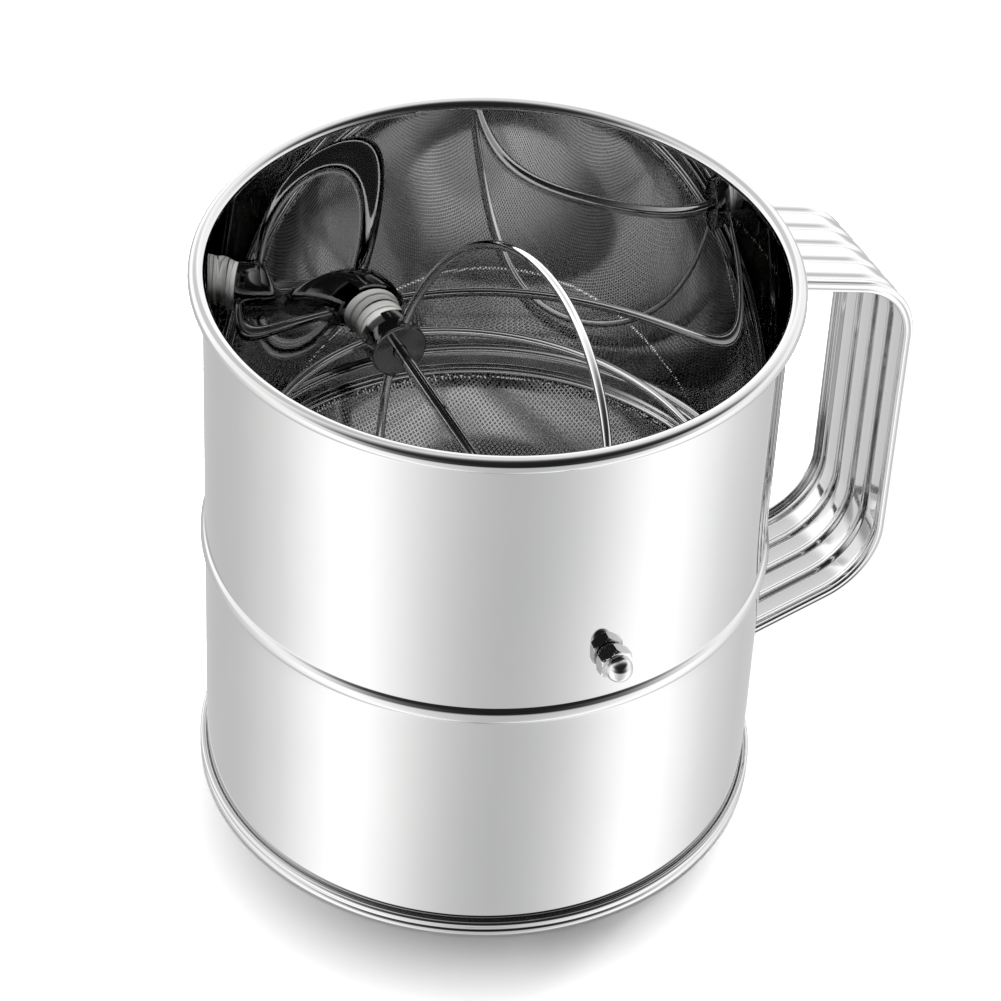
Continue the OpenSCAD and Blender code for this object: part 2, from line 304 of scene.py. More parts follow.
def tube(points, radius, sides, end_round):
    """Round rod along a path, its ends slightly rounded over."""
    end_steps = 3
    pts = [Vector(p) for p in points]
    last = len(pts) - 1
    tangents = [(pts[min(i + 1, last)] - pts[max(i - 1, 0)]).normalized() for i in range(last + 1)]
    normal = tangents[0].orthogonal().normalized()
    frames = []
    for point, t in zip(pts, tangents):
        normal = (normal - t * normal.dot(t)).normalized()
        frames.append((point, normal, t.cross(normal)))

    def ring(centre, u, v, r):
        return [tuple(centre + (u * math.cos(a) + v * math.sin(a)) * r) for a in turns(sides)]

    def end_ring(frame_at, inward, k):
        """Ring of a rounded end, from k = 0 on the end face to k = end_steps at the full radius."""
        centre, u, v = frame_at
        a = math.pi / 2 * k / end_steps
        set_in = inward * end_round * (1 - math.cos(a))
        return ring(centre + set_in, u, v, radius - end_round * (1 - math.sin(a)))

    rows = [end_ring(frames[0], tangents[0], k) for k in range(end_steps + 1)]
    rows += [ring(*frame_at, radius) for frame_at in frames[1:-1]]
    rows += [end_ring(frames[-1], -tangents[-1], k) for k in range(end_steps, -1, -1)]
    return grid(rows, False, True, True)


def dense(a, b, steps):
    """Points from a towards b, without b."""
    return [tuple(a[i] + (b[i] - a[i]) * k / steps for i in range(len(a))) for k in range(steps)]


def fillet(corner, before, after, r, steps=5):
    """Points that round a corner of an outline."""
    p, a, b = Vector(corner), Vector(before), Vector(after)
    u, v = (a - p).normalized(), (b - p).normalized()
    half = math.acos(max(-1, min(1, u.dot(v)))) / 2
    reach = min(r / math.tan(half), (a - p).length * 0.45, (b - p).length * 0.45)
    r = reach * math.tan(half)
    centre = p + (u + v).normalized() * (r / math.sin(half))
    out = []
    for k in range(steps + 1):
        t = k / steps
        q = (p + u * reach) * (1 - t) + (p + v * reach) * t - centre
        out.append(tuple(centre + q.normalized() * r))
    return out


# ---------------------------------------------------------------- body shell
def on_bead(r, angle):
    """Point of the bead's section circle of radius r, at an angle in degrees above level."""
    a = math.radians(angle)
    return BEAD_CX + r * math.cos(a), BEAD_Z + r * math.sin(a)


def body_shell():
    """One sheet: foot of two rolls, wall, bead, rolled rim, and back down the inside."""
    groove_r = BEAD_R - WALL
    corner_r = 0.45
    hem_cx, hem_r = INNER_R + 1.4, 1.4
    roll_cx, roll_cz = INNER_R + ROLL_R, HEIGHT - ROLL_R
    half_out = math.degrees(math.acos((BODY_R - BEAD_CX) / BEAD_R))
    half_in = math.degrees(math.acos((INNER_R - BEAD_CX) / groove_r))
    # two rolls one above the other, the upper one lying against the wall
    out = arc(hem_cx, hem_r, hem_r, -86, 50, 14)
    out += arc(BODY_R + 1.0, 4.02, 0.98, -52, 168, 22)
    out += [(BODY_R + 0.012, 4.26), (BODY_R, 4.4)]
    out += dense((BODY_R, 4.6), (BODY_R, 78.0), 24)
    low = on_bead(BEAD_R, -(half_out - 8))
    corner = (BODY_R, on_bead(BEAD_R, -half_out)[1])
    out += fillet(corner, (BODY_R, corner[1] - 1.2), low, corner_r)
    out += arc(BEAD_CX, BEAD_Z, BEAD_R, -(half_out - 11), half_out - 11, 22)
    high = (low[0], 2 * BEAD_Z - low[1])
    corner = (BODY_R, 2 * BEAD_Z - corner[1])
    out += fillet(corner, high, (BODY_R, corner[1] + 1.2), corner_r)
    out += dense((BODY_R, corner[1] + 1.0), (BODY_R, roll_cz - ROLL_R + 0.1), 26)
    out += [(BODY_R, roll_cz - ROLL_R + 0.35), (BODY_R + 0.04, roll_cz - 1.9)]
    out += arc(roll_cx, roll_cz, ROLL_R, -124, 180, 56)
    out += dense((INNER_R, roll_cz - 0.2), (INNER_R, BEAD_Z + groove_r + 0.4), 26)
    corner = (INNER_R, on_bead(groove_r, half_in)[1])
    near = on_bead(groove_r, half_in - 10)
    out += fillet(corner, (INNER_R, corner[1] + 1.2), near, corner_r)
    out += arc(BEAD_CX, BEAD_Z, groove_r, half_in - 14, -(half_in - 14), 18)
    low_corner = (INNER_R, 2 * BEAD_Z - corner[1])
    low_near = (near[0], 2 * BEAD_Z - near[1])
    out += fillet(low_corner, low_near, (INNER_R, low_corner[1] - 1.2), corner_r)
    out += dense((INNER_R, low_corner[1] - 1.0), (INNER_R, hem_r), 24)
    out += arc(hem_cx, hem_r, hem_r, 180, 266, 10)
    return lathe(out, 320)


piece("body_shell_sheet", *body_shell(), SHELL, "shell_steel", "housing", ["body_shell"])


# ---------------------------------------------------------------- screen: snap ring, folded hem, woven wires
def snap_ring():
    """Ring with a round outer side that fills the bead, and a flat inner side."""
    r = 2.70
    left = RING_HI[0] / MM - RING_W + 0.05
    a = 90 + math.degrees(math.asin((BEAD_CX - left) / r))
    out = arc(BEAD_CX, BEAD_Z, r, -(a - 12), a - 12, 26)
    top = BEAD_Z + r * math.sin(math.radians(a))
    out += fillet((left, top), out[-1], (left, BEAD_Z), 0.5)
    out += dense((left, BEAD_Z + 1.2), (left, BEAD_Z - 1.2), 3) + [(left, BEAD_Z - 1.2)]
    out += fillet((left, 2 * BEAD_Z - top), (left, BEAD_Z), out[0], 0.5)
    return lathe(out, 240)


def screen_frame():
    """Folded hem with a slot for the edge of the screen."""
    r_out, r_in = FRAME_HI[0] / MM, FRAME_HI[0] / MM - HEM_W
    z_low, z_high = FRAME_LO[2] / MM, FRAME_HI[2] / MM
    slot_low, slot_high = MESH_HI[2] / MM - SCREEN_T, MESH_HI[2] / MM
    out = []
    corners = [(r_in, z_low), (r_out, z_low), (r_out, z_high), (r_in, z_high)]
    for i, c in enumerate(corners):
        out += fillet(c, corners[i - 1], corners[(i + 1) % 4], 0.55 if i in (0, 3) else 0.9, 6)
    gap, ease = 0.05, 0.2
    slot_end = r_out - SLOT_WALL
    out += [(r_in, slot_high + 0.25), (r_in + ease, slot_high + gap), (slot_end, slot_high + gap)]
    out += [(slot_end, slot_low - gap), (r_in + ease, slot_low - gap), (r_in, slot_low - 0.25)]
    return lathe(out, 240)


piece("snap_ring_wire", *snap_ring(), RING, "ring_steel", "housing", ["snap_ring"])
piece("screen_hem", *screen_frame(), RING, "ring_steel", "housing", ["screen_frame"])

BOWL_Z = MESH_LO[2] / MM
BOWL_EDGE_R, BOWL_EDGE_Z = 73.7, MESH_HI[2] / MM
RISE = BOWL_EDGE_Z - BOWL_Z
BOWL_R = (BOWL_EDGE_R ** 2 + RISE ** 2) / (2 * RISE)
BOWL_CZ = BOWL_Z + BOWL_R
BOWL_EDGE_ANGLE = math.asin(BOWL_EDGE_R / BOWL_R)
FLAT_EDGE = BOWL_R * BOWL_EDGE_ANGLE
MESH_PITCH = 1.2
MESH_WIRE_R = 0.21
MESH_TURN = math.radians(14)
# how far a wire leaves the cloth at a crossing, and its half diagonal, both in wire radii
WEAVE_LIFT, WIRE_CORNER = 0.82, 1.12


def on_bowl(u, v, lift):
    """Point of the drawn wire cloth that lay at (u, v) in the flat, lifted along the inward normal."""
    flat = math.hypot(u, v)
    r_mid = BOWL_R - SCREEN_T / 2
    if flat <= FLAT_EDGE:
        a = flat / BOWL_R
        r, z = r_mid * math.sin(a), BOWL_CZ - r_mid * math.cos(a)
        nr, nz = -math.sin(a), math.cos(a)
    else:
        r = r_mid * math.sin(BOWL_EDGE_ANGLE) + flat - FLAT_EDGE
        z = BOWL_CZ - r_mid * math.cos(BOWL_EDGE_ANGLE)
        nr, nz = 0.0, 1.0
    k = 1.0 / flat if flat > 1e-6 else 0.0
    cu, cv = u * k, v * k
    r += nr * lift
    x, y = r * cu, r * cv
    c, s = math.cos(MESH_TURN), math.sin(MESH_TURN)
    return (x * c - y * s, x * s + y * c, z + nz * lift)


def woven(direction):
    """All wires of one direction, each passing over and under the crossing wires."""
    flat_max = FLAT_EDGE + 0.9
    step = 0.1
    count = int(flat_max / MESH_PITCH)
    wires = []
    for i in range(-count, count + 1):
        line = i * MESH_PITCH
        reach = math.sqrt(max(0.0, flat_max ** 2 - line ** 2))
        steps = int(reach / MESH_PITCH)
        if steps < 1:
            continue
        rows = []
        for j in range(-steps, steps + 1):
            t = j * MESH_PITCH
            over = 1 if (i + j + direction) % 2 == 0 else -1
            lift = MESH_WIRE_R * WEAVE_LIFT * over
            here, next_to = ((t, line), (t + step, line)) if direction == 0 else ((line, t), (line, t + step))
            centre = Vector(on_bowl(*here, lift))
            up = Vector(on_bowl(*here, lift + step)) - centre
            tangent = (Vector(on_bowl(*next_to, lift)) - centre).normalized()
            up = (up - tangent * up.dot(tangent)).normalized()
            side = tangent.cross(up)
            rows.append([tuple(centre + (up * math.cos(a) + side * math.sin(a)) * MESH_WIRE_R * WIRE_CORNER)
                         for a in (math.pi * (0.25 + 0.5 * k) for k in range(4))])
        wires.append(grid(rows, False, True, True))
    return merge(*wires)


piece("screen_warp_wires", *woven(0), MESH, "mesh_steel", "housing", ["screen_mesh"], 60)
piece("screen_weft_wires", *woven(1), MESH, "mesh_steel", "housing", [], 60)


# ---------------------------------------------------------------- strap handle
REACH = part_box("handle_strap")[1][0] / MM
RUN = REACH - BODY_R
SLOPE = math.asin(7 / 25)
LOW_Z, TOP_Z = 29.4, 159.0
STRAP_T, HALF_W, LIP = 1.2, 20.0, 3.4
PITCH, GROOVE_W, GROOVE_D, CROWN = 8.3, 3.0, 0.62, 0.2
# radius of both bends, and how far a bend reaches along its straight sides, in radii
BEND_R, BEND_REACH = 24.0, 0.75
# the drawn strap lies this far inside the CAD strap
SKIN = 0.02


def strap_section():
    """Closed outline (outward, across): crowned bands between pressed grooves, edges turned in and rolled."""
    def groove(u):
        k = max(-2, min(2, round(u / PITCH)))
        off = abs(u - k * PITCH)
        d = off / (GROOVE_W * 0.7)
        dip = GROOVE_D * (0.5 + 0.5 * math.cos(math.pi * min(1.0, d)))
        return dip + CROWN * max(0.0, 1 - 2 * off / PITCH) ** 2

    edge, roll = 1.2, 0.75
    flat = HALF_W - edge
    steps = 160
    across = [-flat + 2 * flat * k / steps for k in range(steps + 1)]
    outside = [(-groove(u) - SKIN, u) for u in across]
    inside = [(-STRAP_T - groove(u), u) for u in reversed(across) if abs(u) <= HALF_W - STRAP_T - 0.4]
    right = []
    for k in range(1, 9):
        a = math.pi / 2 * k / 8
        right.append((-edge + edge * math.cos(a) - SKIN * (1 - k / 8), flat + edge * math.sin(a)))
    # side face with a fine line above the rolled edge
    right += [(-1.55, HALF_W - SKIN), (-1.75, HALF_W - 0.2), (-1.88, HALF_W - 0.27), (-2.0, HALF_W - 0.27)]
    for k in range(15):
        a = math.radians(45 + 255 * k / 14)
        right.append((roll - LIP + roll * math.cos(a), HALF_W - roll + roll * math.sin(a)))
    right += [(-1.95, HALF_W - 1.24), (-1.85, HALF_W - STRAP_T - SKIN)]
    inner = 0.5
    for k in range(4):
        a = math.pi / 2 * k / 3
        right.append((-STRAP_T - inner + inner * math.sin(a), HALF_W - STRAP_T - inner + inner * math.cos(a)))
    left = [(v, -u) for v, u in reversed(right)]
    return outside + right + inside[1:-1] + left


def strap_path():
    """Stations (x, z, direction) of the outer face line, from the lower wall end to the upper."""
    cs, sn = math.cos(SLOPE), math.sin(SLOPE)
    rise = RUN * sn / cs
    straight = RUN / cs - BEND_R * BEND_REACH
    cx = REACH - BEND_R
    z0, z1 = LOW_Z + rise + BEND_R * BEND_REACH, TOP_Z - rise - BEND_R * BEND_REACH
    bend = math.pi / 2 - SLOPE
    stations = []

    def turn_round(cz, directions):
        for d in directions:
            stations.append((cx + BEND_R * math.sin(d), cz - BEND_R * math.cos(d), d))

    for k in range(13):
        s = straight * k / 12
        stations.append((BODY_R + s * cs, LOW_Z + s * sn, SLOPE))
    turn_round(z0, [SLOPE + bend * k / 24 for k in range(1, 25)])
    for k in range(1, 20):
        stations.append((REACH, z0 + (z1 - z0) * k / 20, math.pi / 2))
    turn_round(z1, [math.pi / 2 + bend * k / 24 for k in range(25)])
    x, z, _ = stations[-1]
    for k in range(1, 13):
        s = straight * k / 12
        stations.append((x - s * cs, z + s * sn, math.pi - SLOPE))
    return stations


def handle():
    """Strap: the section carried along the path, its ends cut to the round wall."""
    section = strap_section()
    stations = strap_path()
    rows = []
    for i, (x, z, d) in enumerate(stations):
        n, t = (math.sin(d), -math.cos(d)), (math.cos(d), math.sin(d))
        row = []
        for v, u in section:
            px, pz = x + n[0] * v, z + n[1] * v
            if i in (0, len(stations) - 1):
                # the ends follow the round wall
                s = (math.sqrt(BODY_R ** 2 - u * u) - px) / t[0]
                px, pz = px + t[0] * s, pz + t[1] * s
            row.append((px, u, pz))
        rows.append(row)
    return grid(rows, False, True, True)


piece("handle_strap_sheet", *handle(), HANDLE, "handle_steel", "housing", ["handle_strap"], 40)


def weld_cord(z_wall, direction):
    """Rippled bead of weld metal lying in the corner between the wall and the strap's outer face."""
    rows = []
    half_length, steps, taper = 17.5, 140, 3
    n = (math.sin(direction), -math.cos(direction))
    for k in range(steps + 1):
        u = -half_length + 2 * half_length * k / steps
        x = math.sqrt(BODY_R ** 2 - u * u)
        z = z_wall + (x - BODY_R) * math.tan(direction)
        r = 0.95 + 0.13 * math.sin(k * 1.25) + 0.05 * math.sin(k * 0.37)
        cx, cz = x + 0.15 + n[0] * 0.2, z + n[1] * 0.25
        end = min(1.0, (k + 0.4) / taper, (steps + 0.4 - k) / taper)
        rows.append([(cx + r * end * math.cos(a), u, cz + r * end * math.sin(a))
                     for a in turns(14)])
    return grid(rows, False, True, True)


piece("handle_weld_top", *weld_cord(TOP_Z, math.pi - SLOPE), WELD, "weld_steel", "housing",
      ["handle_upper_weld"], 50)
piece("handle_weld_low", *weld_cord(LOW_Z, SLOPE), WELD, "weld_steel", "housing",
      ["handle_lower_weld"], 50)


# ---------------------------------------------------------------- bushes, hubs, nut and washers
def bush(flip):
    """Bearing with two flanges, a groove between them, and a spigot through the wall."""
    r, neck, bore, spigot = 7.3, 6.3, 2.06, 3.4
    face, flange, groove, wall_y = 71.2, 2.4, 0.6, 76.8
    end = BODY_R + 0.3 - face
    depth = wall_y - face
    out = [(bore, 0.4), (bore + 0.4, 0)]
    out += fillet((r, 0), (bore, 0), (r, flange), 0.45)
    out += fillet((r, flange), (r, 0), (neck, flange), 0.25)
    out += [(neck, flange + 0.05), (neck, flange + groove - 0.05)]
    out += fillet((r, flange + groove), (neck, flange + groove), (r, depth), 0.25)
    out += [(r, depth), (spigot, depth), (spigot, end - 0.2), (spigot - 0.2, end), (bore, end)]
    return along_y(lathe(out, 72), face, SHAFT_Z, flip)


def sector(r0, r1, y0, y1, a0, a1):
    """Block of a ring between two angles, with its long edges eased."""
    edge, steps = 0.25, 14
    outline = []
    corners = [(r0, y0), (r1, y0), (r1, y1), (r0, y1)]
    for i, c in enumerate(corners):
        outline += fillet(c, corners[i - 1], corners[(i + 1) % 4], edge, 3)
    rows = []
    for k in range(steps + 1):
        a = math.radians(a0 + (a1 - a0) * k / steps)
        rows.append([(r * math.cos(a), r * math.sin(a), y) for r, y in outline])
    return grid(rows, False, True, True)


def hub(flip):
    """Stamped cup: plate with a drawn collar, a notched flange, and a rolled socket round each wire."""
    r, skin, plate_t, face, back_y = 8.5, 1.3, 1.6, 61.5, 70.6
    collar, socket_in, socket_out = 4.0, 1.36, 2.15
    depth = back_y - face
    plate = [(ROD_R, 0.3), (2.3, 0)] + fillet((r, 0), (2, 0), (r, plate_t), 0.9, 6)
    plate += fillet((r, plate_t), (r, 0), (4, plate_t), 0.2)
    plate += fillet((collar, plate_t), (8, plate_t), (4, depth - 1), 0.5)
    plate += [(collar, depth - 1.2), (3.7, depth - 1.0), (ROD_R, depth - 1.0)]
    parts = [lathe(plate, 72)]
    sign = -1 if flip else 1
    first_notch, half, notch_depth = 35.5, 18, 3.6
    for k in range(4):
        notch = first_notch + 90 * k
        # flange between two notches, full depth, and the short web under each notch
        parts.append(sector(r - skin, r, 1.2, depth, sign * (notch + half), sign * (notch + 90 - half)))
        parts.append(sector(r - skin, r, 1.2, depth - notch_depth,
                            sign * (notch - half - 1), sign * (notch + half + 1)))
    cup = along_y(merge(*parts), face, SHAFT_Z, flip)
    ring = [(socket_in, -0.7), (socket_in, 0.5)]
    ring += fillet((socket_out, 0.5), (socket_in, 0.5), (socket_out, -0.7), 0.3) + [(2.3, -0.7)]
    sockets = []
    for angle, radius, shift in WIRES.values():
        a = math.radians(angle)
        ca, sa = math.cos(a), math.sin(a)
        y = math.sqrt(radius ** 2 - (r - shift) ** 2)
        verts, faces = lathe(ring, 28)
        placed = []
        for px, py, pz in verts:
            rho = r - 0.1 + pz
            placed.append((rho * ca - px * sa, (y + py) * sign, SHAFT_Z + rho * sa + px * ca))
        sockets.append((placed, faces))
    return merge(cup, *sockets)


def acorn_nut():
    """Hex with turned chamfers, short collar and dome."""
    flat, corner = NUT_FLAT, NUT_FLAT / math.cos(math.pi / 6)
    hex_h, collar_r, collar_h = NUT_HEX_H, NUT_COLLAR_R, NUT_COLLAR_H
    rows = [(0.0, flat - 0.2), (0.12, flat + 0.1), (0.35, corner - 0.3), (0.62, corner)]
    rows += [(hex_h - 0.65, corner), (hex_h - 0.38, corner - 0.32)]
    rows += [(hex_h - 0.1, flat + 0.05), (hex_h, flat - 0.15)]
    rows += [(hex_h + 0.02, collar_r + 0.15), (hex_h + 0.1, collar_r)]
    rows += [(hex_h + 0.1 + (collar_h - 0.1) * k / 4, collar_r) for k in range(1, 5)]
    for k in range(1, 15):
        a = math.pi / 2 * k / 15
        rows.append((hex_h + collar_h + collar_r * math.sin(a), collar_r * math.cos(a)))
    steps = 144
    hexagon = []
    for h, cap in rows:
        row = []
        for a in turns(steps):
            off = (a + math.pi / 6) % (math.pi / 3) - math.pi / 6
            r = min(cap, flat / math.cos(off)) if h <= hex_h else cap
            row.append((r * math.cos(a), r * math.sin(a), h))
        hexagon.append(row)
    verts, faces = grid(hexagon, False, True)
    faces.append(list(range(steps))[::-1])
    tip, rim = len(verts), (len(rows) - 1) * steps
    # the tip stays just inside the CAD dome
    verts.append((0, 0, hex_h + collar_h + collar_r - 0.02))
    for j in range(steps):
        faces.append([tip, rim + j, rim + (j + 1) % steps])
    return along_y((verts, faces), BODY_R + NUT_GAP, SHAFT_Z, True)


def disc_washer(r, thick, y, z, edge):
    """Flat washer on the rod, with eased edges."""
    bore = ROD_R
    out = [(bore, edge), (bore + edge, 0)] + fillet((r, 0), (bore, 0), (r, thick), edge)
    out += fillet((r, thick), (r, 0), (bore, thick), edge) + [(bore + edge, thick), (bore, thick - edge)]
    return along_y(lathe(out, 64), y, z)


piece("far_bush_nylon", *bush(False), NYLON, "nylon", "housing", ["far_bush"])
piece("near_bush_nylon", *bush(True), NYLON, "nylon", "housing", ["near_bush"])
piece("far_hub_stamping", *hub(False), HUB, "hub_steel", "crank", ["far_hub"], 38)
piece("near_hub_stamping", *hub(True), HUB, "hub_steel", "crank", ["near_hub"], 38)
piece("acorn_nut_turned", *acorn_nut(), NUT, "nut_steel", "crank", ["acorn_nut"], 28)
piece("crank_washer_nylon", *disc_washer(6.0, 1.6, BODY_R + 0.8, SHAFT_Z, 0.25), NYLON, "nylon", "crank",
      ["crank_washer"])
piece("knob_washer_steel", *disc_washer(5.0, 1.0, PIN_START, PIN_Z, 0.15), NUT, "nut_steel", "crank",
      ["knob_washer"])


# ---------------------------------------------------------------- crank rod, agitator wires, knob
def crank_rod():
    """Shaft, arm and knob pin in one bent rod."""
    bend, end_y = 6.0, ROD_HI[1] / MM
    arm_y = PIN_START - bend
    pts = dense((0, ROD_LO[1] / MM, SHAFT_Z), (0, arm_y - bend, SHAFT_Z), 60)
    for k in range(15):
        a = math.pi / 2 * k / 14
        pts.append((0, arm_y - bend + bend * math.sin(a), SHAFT_Z - bend + bend * math.cos(a)))
    low = PIN_Z + bend
    pts += dense((0, arm_y, SHAFT_Z - bend), (0, arm_y, low), 18)[1:]
    for k in range(15):
        a = math.pi / 2 * k / 14
        pts.append((0, arm_y + bend - bend * math.cos(a), low - bend * math.sin(a)))
    pts += dense((0, PIN_START, PIN_Z), (0, end_y, PIN_Z), 12)[1:]
    pts.append((0, end_y, PIN_Z))
    return tube(pts, ROD_R, 32, 0.4)


def agitator_wire(angle, radius, shift):
    """Bowed wire in the plane at the angle about the shaft."""
    end_rho, wire_r, steps = 5.0, 1.35, 90
    a = math.radians(angle)
    half = math.acos((end_rho - shift) / radius)
    pts = []
    for k in range(steps + 1):
        s = -half + 2 * half * k / steps
        rho, y = shift + radius * math.cos(s), radius * math.sin(s)
        pts.append((rho * math.cos(a), y, SHAFT_Z + rho * math.sin(a)))
    return tube(pts, wire_r, 24, 0.3)


piece("crank_rod_bent", *crank_rod(), ROD, "rod_steel", "crank", ["crank_rod"], 50)
for number, bow in WIRES.items():
    piece(f"agitator_bow_{number}", *agitator_wire(*bow), WIRE, "wire_steel", "crank",
          [f"agitator_wire_{number}"], 50)


def knob():
    """Pear-shaped hand knob, turned from a smooth curve through a few (length, radius) shares."""
    length, r, bore = (KNOB_HI[1] - KNOB_LO[1]) / MM, (KNOB_HI[2] - KNOB_LO[2]) / 2 / MM, 2.06
    keys = [(0.0, 0.50), (0.03, 0.575), (0.10, 0.60), (0.25, 0.66), (0.45, 0.80), (0.60, 0.94), (0.72, 0.998),
            (0.82, 0.975), (0.91, 0.87), (0.97, 0.69), (1.0, 0.45)]
    out = []
    for i in range(len(keys) - 1):
        p0, p1, p2, p3 = keys[max(i - 1, 0)], keys[i], keys[i + 1], keys[min(i + 2, len(keys) - 1)]
        for k in range(6):
            t = k / 6
            out.append(tuple(
                0.5 * (2 * p1[c] + (p2[c] - p0[c]) * t + (2 * p0[c] - 5 * p1[c] + 4 * p2[c] - p3[c]) * t * t
                       + (3 * p1[c] - p0[c] - 3 * p2[c] + p3[c]) * t ** 3) for c in (0, 1)))
    out.append(keys[-1])
    outline = [(min(q[1], 1.0) * r, max(0.0, min(1.0, q[0])) * length) for q in out]
    outline += [(bore + 0.3, length), (bore, length - 0.3), (bore, 0.3), (bore + 0.3, 0)]
    return along_y(lathe(outline, 96), KNOB_LO[1] / MM, PIN_Z)


def knob_cap():
    """Pressed cap on the end of the pin."""
    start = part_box("knob_cap")[0][1] / MM
    r, thick = 4.2, 2.6
    out = [(0, 0.0), (3.6, 0.0)] + fillet((r, 0), (0, 0), (r, thick), 0.25, 3)
    out += [(r, 0.9)]
    for k in range(9):
        a = math.pi / 2 * k / 9
        out.append((r * math.cos(a), 0.95 + (thick - 0.95) * math.sin(a)))
    out.append((0, thick))
    return along_y(spun(out, 64), start, PIN_Z)


piece("crank_knob_moulded", *knob(), KNOB, "knob_plastic", "knob", ["crank_knob"], 40)
piece("knob_cap_pressed", *knob_cap(), NUT, "nut_steel", "crank", ["knob_cap"], 40)


# ---------------------------------------------------------------- studio
def stage_mesh(name, verts, faces, mat):
    """Adds a surface that belongs to the stage and not to the object (metres)."""
    mesh = bpy.data.meshes.new(name)
    mesh.from_pydata(verts, [], faces)
    mesh.materials.append(mat)
    obj = bpy.data.objects.new(name, mesh)
    bpy.context.collection.objects.link(obj)
    return obj


def floor_material(name, light):
    """Matt floor of the given brightness."""
    mat, nodes, links, shader = node_tree(name)
    cloud = mapped_noise(nodes, links, 3.0, (1, 1, 1), 2.0)
    colour = tint(nodes, links, cloud, (light, light, light), (light + 0.02,) * 3)
    links.new(colour, shader.inputs["Base Color"])
    shader.inputs["Roughness"].default_value = 0.9
    shader.inputs["Specular IOR Level"].default_value = 0.1
    return mat


# a pale floor that the steel doesn't mirror, and a darker disc just above it inside the foot, painted shade
# under the sifter
FLOOR_HALF, FLOOR_Z, DISC_R, DISC_Z, DISC_STEPS = 6, -0.0004, 0.0772, -0.0001, 96
corners = [(x * FLOOR_HALF, y * FLOOR_HALF, FLOOR_Z) for x, y in ((-1, -1), (1, -1), (1, 1), (-1, 1))]
floor = stage_mesh("floor", corners, [(0, 1, 2, 3)], floor_material("pale_floor", 0.86))
floor.visible_glossy = False
disc = [(DISC_R * math.cos(a), DISC_R * math.sin(a), DISC_Z) for a in turns(DISC_STEPS)]
stage_mesh("floor_under_body", disc, [tuple(range(DISC_STEPS))], floor_material("painted_shade_floor", 0.26))

# camera: azimuth from the nut's side (-Y) towards the handle (+X), elevation, roll, distance and aim (m)
AZIMUTH, ELEVATION, ROLL = math.radians(-26.4), math.radians(39.86), math.radians(3.15)
DISTANCE, SHIFT_RIGHT, SHIFT_UP = 1.0880, 0.00386, 0.06968
LENS_MM, SENSOR_MM = 133.4985, 36.0
level = math.cos(ELEVATION)
back = Vector((math.sin(AZIMUTH) * level, -math.cos(AZIMUTH) * level, math.sin(ELEVATION)))
right = Vector((math.cos(AZIMUTH), math.sin(AZIMUTH), 0))
up = back.cross(right)
front = Vector((back.x, back.y, 0)).normalized()
camera = bpy.data.objects.new("camera", bpy.data.cameras.new("camera"))
bpy.context.collection.objects.link(camera)
camera.data.lens, camera.data.sensor_width = LENS_MM, SENSOR_MM
camera.data.clip_start, camera.data.clip_end = 0.05, 50
camera.location = back * DISTANCE + right * SHIFT_RIGHT + up * SHIFT_UP
rolled_right = right * math.cos(ROLL) + up * math.sin(ROLL)
rolled_up = up * math.cos(ROLL) - right * math.sin(ROLL)
camera.rotation_mode = "QUATERNION"
camera.rotation_quaternion = Matrix((rolled_right, rolled_up, back)).transposed().to_quaternion()
bpy.context.scene.camera = camera


# (place, brightness) stops of the light tent: below the horizon by turn, from front (0) to back (1)
SWEEP_TURN = 0.19
SWEEP_STOPS = [(0.0, 0.72), (0.08, 0.77), (0.18, 1.02), (0.27, 1.40), (0.36, 1.70), (0.45, 1.46),
               (0.56, 1.04), (0.72, 0.72), (1.0, 0.62)]
# above it, from the dark room in front (0) to the bright back (1)
ROOM_TURN = 0.42
ROOM_STOPS = [(0.0, 0.02), (0.22, 0.022), (0.35, 0.045), (0.43, 0.20), (0.50, 0.55), (0.60, 1.05),
              (0.74, 1.25), (0.88, 1.6), (1.0, 1.6)]
RAMP_TOP, PANEL_LIGHT = 2.0, 1.35
# direction of the dim panel, and the share of the side panels by turn
DIM_PANEL = (-0.058, 0.69, 0.72)
PANEL_STOPS = [(0.0, 0.0), (0.24, 0.0), (0.38, 1.0), (0.60, 1.0), (1.0, 1.0)]


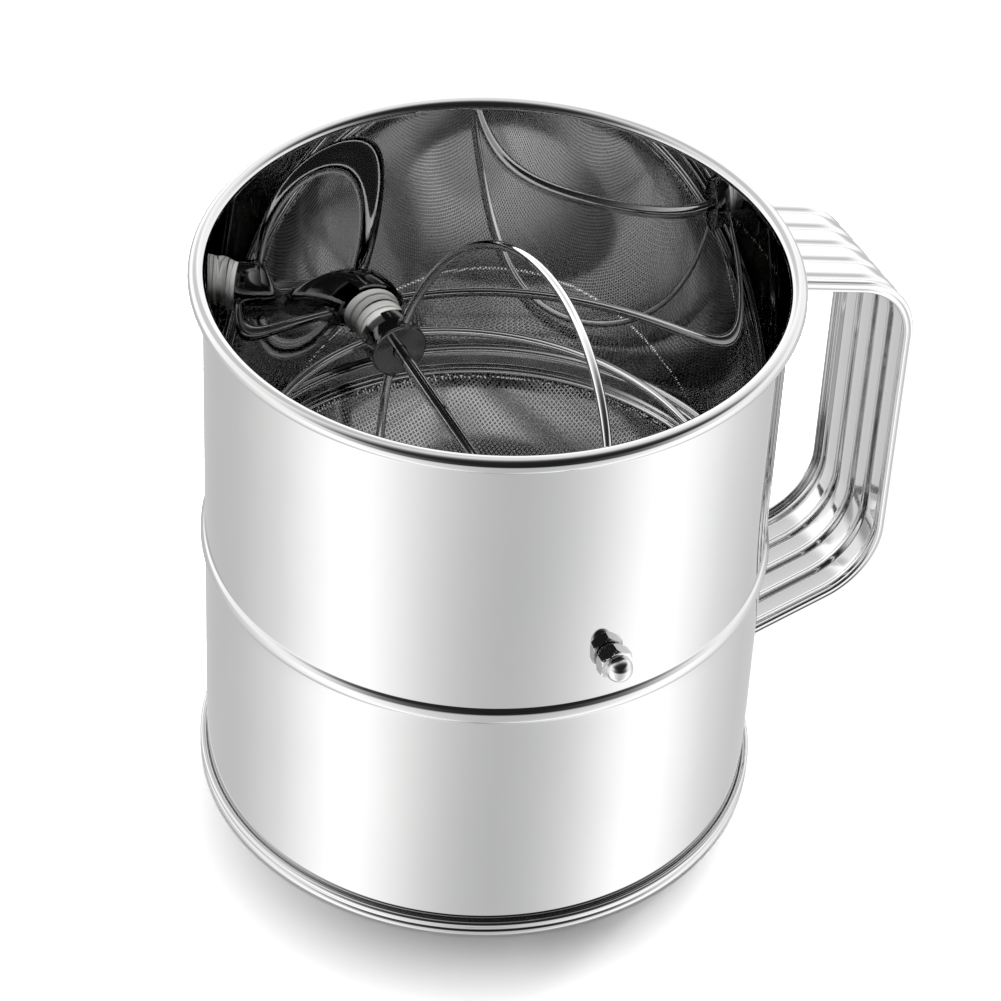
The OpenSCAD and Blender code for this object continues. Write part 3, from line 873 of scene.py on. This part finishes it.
def studio_world():
    """Soft light tent: white sweep below, bright panels at the sides and behind, and a dark room in front."""
    world = bpy.data.worlds.new("studio")
    bpy.context.scene.world = world
    world.use_nodes = True
    nodes, links = world.node_tree.nodes, world.node_tree.links
    sky = nodes["Background"]
    coord = nodes.new("ShaderNodeTexCoord")

    def towards(direction):
        dot = nodes.new("ShaderNodeVectorMath")
        dot.operation = "DOT_PRODUCT"
        links.new(coord.outputs["Generated"], dot.inputs[0])
        dot.inputs[1].default_value = direction
        return dot.outputs["Value"]

    def maths(op, *values):
        part = nodes.new("ShaderNodeMath")
        part.operation = op
        for i, value in enumerate(values):
            if isinstance(value, (int, float)):
                part.inputs[i].default_value = value
            else:
                links.new(value, part.inputs[i])
        return part.outputs["Value"]

    def smooth(value, low, high, out_low, out_high):
        part = nodes.new("ShaderNodeMapRange")
        part.interpolation_type = "SMOOTHSTEP"
        for key, number in (("From Min", low), ("From Max", high), ("To Min", out_low), ("To Max", out_high)):
            part.inputs[key].default_value = number
        links.new(value, part.inputs["Value"])
        return part.outputs["Result"]

    def curve(value, stops):
        part = nodes.new("ShaderNodeValToRGB")
        ramp = part.color_ramp
        ramp.interpolation = "B_SPLINE"
        ramp.elements.remove(ramp.elements[1])
        for i, (place, strength) in enumerate(stops):
            stop = ramp.elements.new(place) if i else ramp.elements[0]
            stop.color = (strength / RAMP_TOP, strength / RAMP_TOP, strength / RAMP_TOP, 1)
        links.new(value, part.inputs["Fac"])
        return maths("MULTIPLY", part.outputs["Color"], RAMP_TOP)

    def blend(factor, first, second):
        part = nodes.new("ShaderNodeMix")
        links.new(factor, part.inputs["Factor"])
        links.new(first, part.inputs["A"])
        links.new(second, part.inputs["B"])
        return part.outputs["Result"]

    ahead, height = towards(front), towards((0, 0, 1))
    # share of a half turn from the front, 0 in front and 1 behind
    angle = maths("ARCTAN2", towards(right), ahead)
    turn = maths("ABSOLUTE", maths("DIVIDE", maths("SUBTRACT", angle, SWEEP_TURN), math.pi))
    sweep = curve(turn, SWEEP_STOPS)
    room_front = front * math.cos(ROOM_TURN) + right * math.sin(ROOM_TURN)
    room = curve(maths("MULTIPLY_ADD", towards(room_front), -0.5, 0.5), ROOM_STOPS)
    panels = maths("MULTIPLY", curve(turn, PANEL_STOPS), smooth(height, 0.30, 0.62, 1.0, 0.0))
    above = blend(maths("MINIMUM", panels, 1.0), room, maths("MAXIMUM", room, PANEL_LIGHT))
    # a darker panel high behind keeps the bands of the handle grey
    dim = smooth(towards(DIM_PANEL), 0.88, 0.97, 1.0, 0.58)
    above = maths("MULTIPLY", above, dim)
    links.new(blend(smooth(height, -0.20, 0.08, 0.0, 1.0), sweep, above), sky.inputs["Strength"])
    sky.inputs["Color"].default_value = (1, 1, 1, 1)


studio_world()


def softbox(name, size, watts, place):
    """Round soft light aimed low at the sifter. It lights the floor and the plastic, and isn't mirrored."""
    aim = Vector((0, 0, 0.05))
    lamp = bpy.data.objects.new(name, bpy.data.lights.new(name, "AREA"))
    lamp.data.shape, lamp.data.size, lamp.data.energy = "DISK", size, watts
    lamp.location = place
    lamp.rotation_euler = (aim - place).to_track_quat("-Z", "Y").to_euler()
    lamp.visible_glossy = False
    bpy.context.collection.objects.link(lamp)


rear = -front
softbox("soft_overhead", 0.8, 72.0, rear * 0.24 + Vector((0, 0, 1.95)))
softbox("soft_side", 1.2, 75.0, right * 0.75 + rear * 1.6 + Vector((0, 0, 0.9)))
bpy.context.scene.view_settings.view_transform = "Standard"
